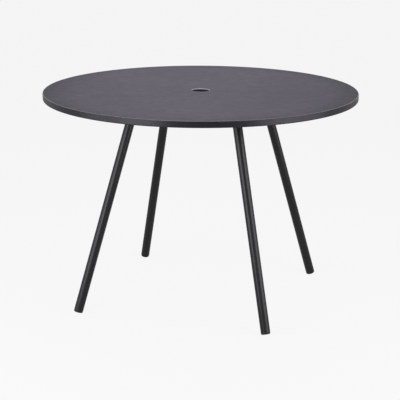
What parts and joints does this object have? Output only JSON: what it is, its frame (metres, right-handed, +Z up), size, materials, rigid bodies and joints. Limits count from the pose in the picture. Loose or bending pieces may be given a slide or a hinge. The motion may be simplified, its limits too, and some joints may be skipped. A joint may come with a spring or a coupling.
{
  "type": "outdoor dining table",
  "caption": "Round outdoor dining table: flat metal top with a turned-down rim and a parasol hole, on splayed round tube legs with levelling feet.",
  "frame": {"origin": "on the ground, under the middle of the round top", "axes": "+Z up along the parasol hole's axis; the legs stand on the diagonals between X and Y; the reference view looks along +Y, turned 17.6 degrees"},
  "size_m": [1.1, 1.1, 0.75],
  "materials": {
    "top_coat": "fine textured matt powder coat, dark anthracite",
    "frame_coat": "fine textured matt powder coat, dark anthracite",
    "leg_coat": "satin powder coat, dark anthracite",
    "black_nylon": "moulded nylon, black",
    "black_rubber": "black rubber sheet",
    "zinc_steel": "zinc plated",
    "black_steel": "black passivated steel"
  },
  "bodies": {
    "table": {"table_top": "top_coat", "hub_tube": "frame_coat", "hub_plate": "frame_coat", "arm_front_right": "frame_coat", "arm_back_right": "frame_coat", "arm_back_left": "frame_coat", "arm_front_left": "frame_coat", "seat_plate_front_right": "frame_coat", "seat_plate_back_right": "frame_coat", "seat_plate_back_left": "frame_coat", "seat_plate_front_left": "frame_coat", "leg_flange_front_right": "leg_coat", "leg_flange_back_right": "leg_coat", "leg_flange_back_left": "leg_coat", "leg_flange_front_left": "leg_coat", "leg_tube_front_right": "leg_coat", "leg_tube_back_right": "leg_coat", "leg_tube_back_left": "leg_coat", "leg_tube_front_left": "leg_coat", "foot_insert_front_right": "black_nylon", "foot_insert_back_right": "black_nylon", "foot_insert_back_left": "black_nylon", "foot_insert_front_left": "black_nylon", "top_studs": "zinc_steel", "top_pads": "black_rubber", "top_washers": "zinc_steel", "top_nuts": "zinc_steel", "leg_weld_nuts": "frame_coat", "leg_washers": "black_steel", "leg_bolts": "black_steel"},
    "glide_front_right": {"glide_pad_front_right": "black_nylon", "glide_screw_front_right": "zinc_steel"},
    "glide_back_right": {"glide_pad_back_right": "black_nylon", "glide_screw_back_right": "zinc_steel"},
    "glide_back_left": {"glide_pad_back_left": "black_nylon", "glide_screw_back_left": "zinc_steel"},
    "glide_front_left": {"glide_pad_front_left": "black_nylon", "glide_screw_front_left": "zinc_steel"}
  },
  "joints": [
    {"name": "glide_front_right_screw", "type": "slide", "parent": "table", "child": "glide_front_right", "axis": [0.2127, -0.2127, -0.9537], "range_m": [0, 0.01]},
    {"name": "glide_back_right_screw", "type": "slide", "parent": "table", "child": "glide_back_right", "axis": [0.2127, 0.2127, -0.9537], "range_m": [0, 0.01]},
    {"name": "glide_back_left_screw", "type": "slide", "parent": "table", "child": "glide_back_left", "axis": [-0.2127, 0.2127, -0.9537], "range_m": [0, 0.01]},
    {"name": "glide_front_left_screw", "type": "slide", "parent": "table", "child": "glide_front_left", "axis": [-0.2127, -0.2127, -0.9537], "range_m": [0, 0.01]}
  ]
}
